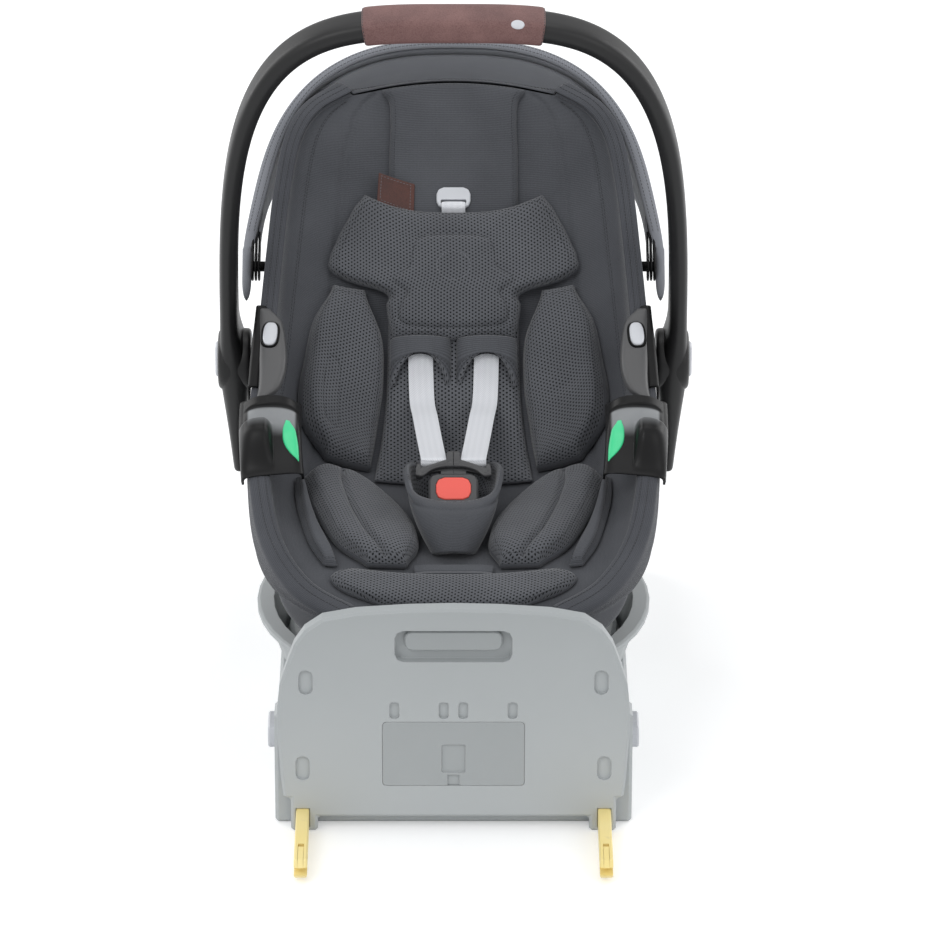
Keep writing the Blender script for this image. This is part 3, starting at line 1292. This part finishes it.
def make_buckle(body):
    """Housing and button of the harness buckle."""
    start, axes = buckle_frame()
    housing = framed("buckle_housing", buckle_outline(), start, axes, -BUCKLE_DEEP, 0, grey_plastic())
    soften(housing, BUCKLE_DEEP / 8)
    hole = round_rect(0, 0, BUCKLE_BUTTON_WIDE + 2 * GAP, BUCKLE_BUTTON_TALL + 2 * GAP,
                      BUCKLE_BUTTON_TALL / 3)
    pocket = framed("cut_buckle_button", hole, start, axes,
                    -BUCKLE_BUTTON_DEEP - BUCKLE_BUTTON_TRAVEL - GAP, OVERRUN, grey_plastic())
    reach = TONGUE_BLADE + 3 * GAP
    mouth = [(-reach, -2 * GAP), (reach, -2 * GAP), (reach, BUCKLE_HIGH + OVERRUN),
             (-reach, BUCKLE_HIGH + OVERRUN)]
    blades = framed("cut_buckle_blades", [(x, y + BLADE_START) for x, y in mouth], start, axes,
                    -BLADE_FACE - TONGUE_THICK - 2 * GAP, -BLADE_FACE + 2 * GAP, grey_plastic())
    cut(housing, pocket, blades)
    hang(housing, body)
    press = carrier_of("axis_buckle_button", start, body)
    face = round_rect(0, 0, BUCKLE_BUTTON_WIDE, BUCKLE_BUTTON_TALL, BUCKLE_BUTTON_TALL / 3)
    button = framed("buckle_button", face, start, axes, -BUCKLE_BUTTON_DEEP, BUCKLE_BUTTON_PROUD,
                    red_plastic(), start)
    soften(button, BUCKLE_BUTTON_PROUD)
    hang(button, press)


def make_tongue(side, sign, body):
    """One half of the bow that the straps end in, with its blade and strap slot."""
    start, axes = buckle_frame()
    slide = carrier_of("axis_tongue_" + side, start + axes[1] * TONGUE_TOP, body)
    half = TONGUE_HALF
    shape = [
        (GAP / 2, 1), (TONGUE_POST_TIP, 1), (TONGUE_POST, .86), (half * .92, .74),
        (half, .66), (half, .42),
        (half * .9, .38), (half * .78, .47), (half * .55, .53), (TONGUE_BLADE, .56),
        (TONGUE_BLADE, BLADE_START / TONGUE_TOP), (GAP / 2, BLADE_START / TONGUE_TOP),
    ]
    outline = [(sign * x, share * TONGUE_TOP) for x, share in shape]
    tongue = framed("tongue_" + side, outline, start, axes, -BLADE_FACE - TONGUE_THICK, -BLADE_FACE,
                    grey_plastic(), slide.location)
    middle = sign * STRAP_LOW_X
    room = STRAP_WIDE / 2 + GAP * 3
    slot = [(middle - room, TONGUE_SLOT_LOW), (middle + room, TONGUE_SLOT_LOW),
            (middle + room, TONGUE_SLOT_HIGH), (middle - room, TONGUE_SLOT_HIGH)]
    cut(tongue, framed("cut_tongue_" + side, slot, start, axes, -BLADE_FACE - TONGUE_THICK - OVERRUN,
                       -BLADE_FACE + OVERRUN, grey_plastic()))
    hang(tongue, slide)


def strap_path(sign):
    """The middle line of a shoulder strap from under the pillow into its tongue."""
    start, axes = buckle_frame()

    def low(y, z):
        return start + axes[0] * sign * STRAP_LOW_X + axes[1] * y + axes[2] * z
    top = seat_at(STRAP_TOP_SHARE, 0, STRAP_TOP_LIFT)
    second = seat_at(STRAP_TOP_SHARE - 0.05, 0, STRAP_TOP_LIFT)
    top.x = sign * STRAP_TOP_X
    second.x = sign * (STRAP_TOP_X - STRAP_DRIFT)
    face = -BLADE_FACE + STRAP_THICK
    bar = low(TONGUE_TOP * 0.84, face)
    points = [top, second]
    for share in (0.3, 0.6, 0.85):
        points.append(second.lerp(bar, share) - axes[2] * STRAP_THICK * 2 * sin(pi * share))
    middle_slot = (TONGUE_SLOT_LOW + TONGUE_SLOT_HIGH) / 2
    points += [bar, low(middle_slot + STRAP_THICK, face - STRAP_THICK / 3),
               low(middle_slot - STRAP_THICK / 3, -BLADE_FACE - TONGUE_THICK / 2),
               low(middle_slot - STRAP_THICK / 2, -BLADE_FACE - TONGUE_THICK - STRAP_THICK)]
    return points


def make_strap(side, sign, body):
    """One shoulder strap of flat webbing."""
    points = strap_path(sign)
    rings = []
    for k, p in enumerate(points):
        ahead = (points[min(k + 1, len(points) - 1)] - points[max(k - 1, 0)]).normalized()
        across = Vector((1, 0, 0))
        across = (across - ahead * across.dot(ahead)).normalized()
        up = ahead.cross(across).normalized()
        w, d = across * STRAP_WIDE / 2, up * STRAP_THICK / 2
        rings.append([p - w - d, p + w - d, p + w + d, p - w + d])
    strap = loft("harness_strap_" + side, rings, webbing(), smooth=False)
    hang(strap, body)


def make_shoulder_pad(side, sign, body):
    """A padded arch over the strap; its mouth is cut back at the crown."""
    turn = np.linspace(0, pi, 13)
    share = np.linspace(0, 1, 5)
    rows, angle = np.meshgrid(share, turn, indexing="ij")
    back = 0.35 * np.sin(angle) * (1 - rows)
    u = SHOULDER_LOW_SHARE + (SHOULDER_HIGH_SHARE - SHOULDER_LOW_SHARE) * (rows + back * (1 - rows))

    def face(inset):
        spine = off_surface(seat_point, u, np.zeros(u.shape), SHOULDER_SEAT + (SHOULDER_TALL - inset)
                            * np.sin(angle))
        spine[..., 0] = sign * STRAP_TOP_X - (SHOULDER_HALF - inset) * np.cos(angle)
        return spine
    pad = slab("shoulder_pad_" + side, face(0.0), face(SHOULDER_WALL), ribbed_fabric())
    hang(pad, body)


def make_crotch_pad(body):
    """The padded pocket that holds the buckle."""
    pad = make_pad("crotch_pad", body, CROTCH_LOW_SHARE, CROTCH_HIGH_SHARE, CROTCH_SHARES, (9, 8),
                   CROTCH_THICK, ribbed_fabric())
    start, axes = buckle_frame()
    pocket = framed("cut_pocket", buckle_outline(GAP * 2), start, axes, -BUCKLE_DEEP - GAP, OVERRUN * 2,
                    ribbed_fabric())
    edge, low = TONGUE_HALF + OVERRUN, BUCKLE_HIGH - 3 * GAP
    tongue_room = [(-edge, low), (edge, low), (edge, TONGUE_TOP * 2), (-edge, TONGUE_TOP * 2)]
    room = framed("cut_tongue_room", [(x, y - OVERRUN / 2) for x, y in tongue_room], start, axes,
                  -BLADE_FACE - TONGUE_THICK - STRAP_THICK * 3, OVERRUN * 4, ribbed_fabric())
    cut(pad, pocket, room)


def make_adjuster(body, cover):
    """The flap over the strap adjuster, hinged at its upper edge, and the release under it."""
    hinge = seat_at(FLAP_HIGH_SHARE, 0, FLAP_SEAT + FLAP_THICK / 2)
    swing = carrier_of("axis_flap", hinge, body)
    u = np.linspace(FLAP_LOW_SHARE, FLAP_HIGH_SHARE, 4)
    t = np.linspace(-FLAP_HALF_SHARE, FLAP_HALF_SHARE, 9)
    u, t = np.meshgrid(u, t, indexing="ij")
    low = off_surface(seat_point, u, t, np.full(u.shape, FLAP_SEAT))
    high = off_surface(seat_point, u, t, FLAP_SEAT + FLAP_THICK * (1 - 0.5 * (t / FLAP_HALF_SHARE) ** 4))
    flap = slab("adjuster_flap", high, low, ribbed_fabric(), swing.location)
    hang(flap, swing)
    place = seat_at((FLAP_LOW_SHARE + FLAP_HIGH_SHARE) / 2, 0)
    press = carrier_of("axis_adjuster", place, body)
    ahead = (seat_at(FLAP_LOW_SHARE, 0) - seat_at(FLAP_HIGH_SHARE, 0)).normalized()
    axes = (Vector((1, 0, 0)), ahead, ahead.cross(Vector((1, 0, 0))))
    outline = round_rect(0, 0, RELEASE_PLATE_WIDE, RELEASE_PLATE_LONG, RELEASE_PLATE_CORNER)
    button = framed("adjuster_button", outline, place, axes, -RELEASE_PLATE_LOW, RELEASE_PLATE_HIGH,
                    grey_plastic(), place)
    hang(button, press)
    room = round_rect(0, 0, RELEASE_PLATE_WIDE + 2 * GAP, RELEASE_PLATE_LONG + 2 * GAP,
                      RELEASE_PLATE_CORNER)
    pocket = framed("cut_adjuster", room, place, axes, -RELEASE_PLATE_LOW - RELEASE_PLATE_TRAVEL - GAP,
                    OVERRUN, grey_plastic())
    cut(cover, pocket)


def make_clip(body):
    """The white pull clip above the pillow, with its finger eye."""
    lift = panel_top() + GAP
    low, high = seat_at(CLIP_LOW_SHARE, 0, lift), seat_at(CLIP_HIGH_SHARE, 0, lift)
    ahead = (high - low).normalized()
    up = Vector((1, 0, 0)).cross(ahead).normalized()
    if up.y > 0:
        up = -up
    tall = (high - low).length
    outline = round_rect(0, tall / 2, CLIP_WIDE, tall, tall / 3)
    clip = framed("pull_clip", outline, low, ((1, 0, 0), ahead, up), 0, CLIP_THICK, white_plastic())
    soften(clip, CLIP_THICK / 5)
    eye = round_rect(0, tall * 0.3, CLIP_WIDE * 0.75, tall * 0.2, tall * 0.06)
    cut(clip, framed("cut_clip", eye, low, ((1, 0, 0), ahead, up), -OVERRUN, OVERRUN * 2, white_plastic()))
    hang(clip, body)


# Handle

def handle_point(x, h):
    """A point of the handle's leaning plane."""
    return Vector((x, HANDLE_Y - h * sin(HANDLE_LEAN), HANDLE_Z + h * cos(HANDLE_LEAN)))


def handle_stations(steps=24):
    """Middle points, thicknesses and depths along the bar, from tail to tail."""
    half = HANDLE_HALF - HANDLE_THICK / 2
    tall = HANDLE_RADIUS - CROWN_THICK / 2
    stations = []
    for share in (1.0, 0.75, 0.45, 0.2):
        x = half + (TAIL_OUTER - TAIL_THICK / 2 - half) * share
        thick = HANDLE_THICK + (TAIL_THICK - HANDLE_THICK) * share
        deep = HUB_DEEP + (TAIL_DEEP - HUB_DEEP) * share
        stations.append((x, -HANDLE_TAIL * share, thick, deep))
    for i in range(steps + 1):
        s = i / steps
        turn = pi * (s - 0.55 * sin(2 * pi * s) / (2 * pi))
        x = np.sign(cos(turn)) * half * abs(cos(turn)) ** (2 / HANDLE_SOFTNESS)
        h = tall * max(sin(turn), 0) ** (2 / HANDLE_SOFTNESS)
        rise = h / tall
        thick = HANDLE_THICK + (CROWN_THICK - HANDLE_THICK) * rise ** 4
        deep = HUB_DEEP + (HANDLE_DEEP - HUB_DEEP) * min(1, rise * 1.6)
        stations.append((x, h, thick, deep))
    stations += [(-x, h, thick, deep) for x, h, thick, deep in stations[3::-1]]
    return stations


def handle_rings(stations, grow=0.0):
    """Soft rectangular sections square to the bar's middle line."""
    lean = Vector((0, cos(HANDLE_LEAN), sin(HANDLE_LEAN)))
    rings = []
    for k, (x, h, thick, deep) in enumerate(stations):
        before, after = stations[max(k - 1, 0)], stations[min(k + 1, len(stations) - 1)]
        ahead = (handle_point(after[0], after[1]) - handle_point(before[0], before[1])).normalized()
        out = ahead.cross(lean).normalized()
        outline = round_rect(0, 0, thick + 2 * grow, deep + 2 * grow, thick * 0.42 + grow, steps=2)
        middle = handle_point(x, h)
        rings.append([middle + out * a + lean * b for a, b in outline])
    return rings


def make_handle(body):
    """The carrying bar with its hubs, the leather grip and the release buttons."""
    pivot = Vector((0, HANDLE_Y, HANDLE_Z))
    swing = carrier_of("axis_handle", pivot, body)
    stations = handle_stations()
    bar = loft("handle_bar", handle_rings(stations), black_plastic(), pivot)
    for side, sign in sides():
        hub = prism("hub_" + side, circle(HANDLE_Y, HANDLE_Z, HUB_RADIUS, 20), "X", sign * HUB_FACE,
                    sign * HUB_OUTER, black_plastic())
        bore = prism("cut_hub_" + side, circle(HANDLE_Y, HANDLE_Z, PIVOT_PIN_RADIUS + GAP, 16), "X",
                     sign * (HUB_FACE - OVERRUN), sign * (HUB_FACE + PIVOT_PIN_LONG + GAP), black_plastic())
        shape = round_rect(HANDLE_Y, HANDLE_Z, RELEASE_WIDE + 2 * GAP, RELEASE_TALL + 2 * GAP,
                           RELEASE_WIDE * 0.45)
        floor = HUB_OUTER - RELEASE_DEEP - RELEASE_TRAVEL - GAP
        press = prism("cut_release_" + side, shape, "X", sign * floor, sign * (HUB_OUTER + OVERRUN),
                      black_plastic())
        unite(bar, hub)
        cut(bar, bore, press)
    hang(bar, swing)
    for side, sign in sides():
        travel = carrier_of("axis_release_" + side, Vector((sign * HUB_OUTER, HANDLE_Y, HANDLE_Z)), swing)
        shape = round_rect(HANDLE_Y, HANDLE_Z, RELEASE_WIDE, RELEASE_TALL, RELEASE_WIDE * 0.45)
        button = prism("handle_button_" + side, shape, "X", sign * (HUB_OUTER - RELEASE_DEEP),
                       sign * (HUB_OUTER + RELEASE_PROUD), white_plastic(),
                       (sign * HUB_OUTER, HANDLE_Y, HANDLE_Z))
        soften(button, RELEASE_PROUD / 2)
        hang(button, travel)
    inner = [s for s in stations if s[1] > 0 and abs(s[0]) < GRIP_HALF * 1.6]
    ends = grip_stations(inner)
    grip = loft("grip_cover", handle_rings(ends, GRIP_WALL), leather(), pivot)
    core = loft("cut_grip", handle_rings(inner, GAP), leather(), pivot)
    cut(grip, core)
    hang(grip, swing)


def grip_stations(stations):
    """The stations of the bar that the grip covers, trimmed to its length."""
    inside = [s for s in stations if abs(s[0]) < GRIP_HALF * 0.97]
    outer = [s for s in stations if abs(s[0]) >= GRIP_HALF * 0.97]
    right = min((s for s in outer if s[0] > 0), key=lambda s: s[0])
    left = max((s for s in outer if s[0] < 0), key=lambda s: s[0])

    def blend(a, b):
        share = (GRIP_HALF - abs(a[0])) / (abs(b[0]) - abs(a[0]))
        return tuple(p + (q - p) * share for p, q in zip(a, b))
    first = blend(inside[0], right)
    last = blend(inside[-1], left)
    return [first] + inside + [last]


# Canopy


def canopy_strip(name, order, mat, body):
    """One of the nested canopy sections, a band turned about the pivots."""
    pivot = Vector((0, CANOPY_Y, CANOPY_Z))
    swing = carrier_of("axis_" + name, pivot, body)
    half = CANOPY_HALF - order * CANOPY_STEP
    tall = CANOPY_RADIUS - order * CANOPY_STEP
    n = CANOPY_SOFTNESS
    start = (CANOPY_ROOT / tall) ** (n / 2)
    first = np.arcsin(start)
    s = np.linspace(0, 1, CANOPY_ARCH_STEPS + 1)
    turn = first + (pi - 2 * first) * (s - 0.4 * np.sin(2 * pi * s) / (2 * pi))
    back = CANOPY_LEAN - 2 * CANOPY_SLIP + order * CANOPY_SLIP + CANOPY_SPAN * np.linspace(0, 1, 4)
    turn, back = np.meshgrid(turn, back, indexing="ij")

    def face(inset):
        x = np.sign(np.cos(turn)) * (half - inset) * np.abs(np.cos(turn)) ** (2 / n)
        r = (tall - inset) * np.sin(turn) ** (2 / n)
        return np.stack([x, CANOPY_Y + r * np.sin(back), CANOPY_Z + r * np.cos(back)], axis=-1)
    strip = slab(name, face(0.0), face(CANOPY_WALL), mat, pivot)
    middle = CANOPY_LEAN - 2 * CANOPY_SLIP + order * CANOPY_SLIP + CANOPY_SPAN / 2
    for side, sign in sides():
        low, high = half - CANOPY_WALL, half
        disc = prism(f"eye_{name}_{side}", circle(CANOPY_Y, CANOPY_Z, CANOPY_EYE, 12), "X",
                     sign * low, sign * high, mat)
        corners = ((0, -CANOPY_PIN_RADIUS), (CANOPY_ROOT * 1.6, -CANOPY_PIN_RADIUS),
                   (CANOPY_ROOT * 1.6, CANOPY_PIN_RADIUS), (0, CANOPY_PIN_RADIUS))
        reach = [(CANOPY_Y + r * sin(middle) + w * cos(middle),
                  CANOPY_Z + r * cos(middle) - w * sin(middle)) for r, w in corners]
        arm = prism(f"arm_{name}_{side}", reach, "X", sign * (low + GAP / 3), sign * (high - GAP / 3), mat)
        hole = prism(f"cut_{name}_{side}", circle(CANOPY_Y, CANOPY_Z, CANOPY_PIN_RADIUS + GAP, 12), "X",
                     sign * (low - CANOPY_STEP / 2), sign * (high + OVERRUN), mat)
        unite(strip, disc, arm)
        cut(strip, hole)
    hang(strip, swing)


def make_canopy(body):
    """Three nested sections that fan out from the pivots."""
    for order, name in enumerate(("canopy_front", "canopy_middle", "canopy_rear")):
        canopy_strip(name, order, canopy_fabric(), body)


def main():
    """Build the base, the turntable and the carrier."""
    clear_scene()
    base = carrier_of("axis_base", (0, 0, 0))
    make_chassis(base)
    make_plate(base)
    make_storage_cover(base)
    make_turn_lever(base)
    make_bowl(base)
    make_bearing(base)
    for side, sign in sides():
        make_arm(side, sign, base)
        make_side_clip(side, sign, base)
    make_leg(base)
    turntable = make_turntable(base)
    seat = carrier_of("axis_carrier", (0, 0, shell_underside()), turntable)
    make_shell(seat)
    make_liner(seat)
    cover = make_cover(seat)
    make_collar(seat)
    headrest = carrier_of("axis_headrest", seat_at(PANEL_LOW_SHARE, 0), seat)
    make_headrest(headrest)
    make_clip(headrest)
    make_inlay(seat)
    make_crotch_pad(seat)
    make_buckle(seat)
    make_adjuster(seat, cover)
    for side, sign in sides():
        make_tongue(side, sign, seat)
        make_strap(side, sign, seat)
        make_shoulder_pad(side, sign, seat)
        make_trim(side, sign, seat)
        make_guide(side, sign, seat)
    make_handle(seat)
    make_canopy(seat)
    bpy.context.view_layer.update()


main()
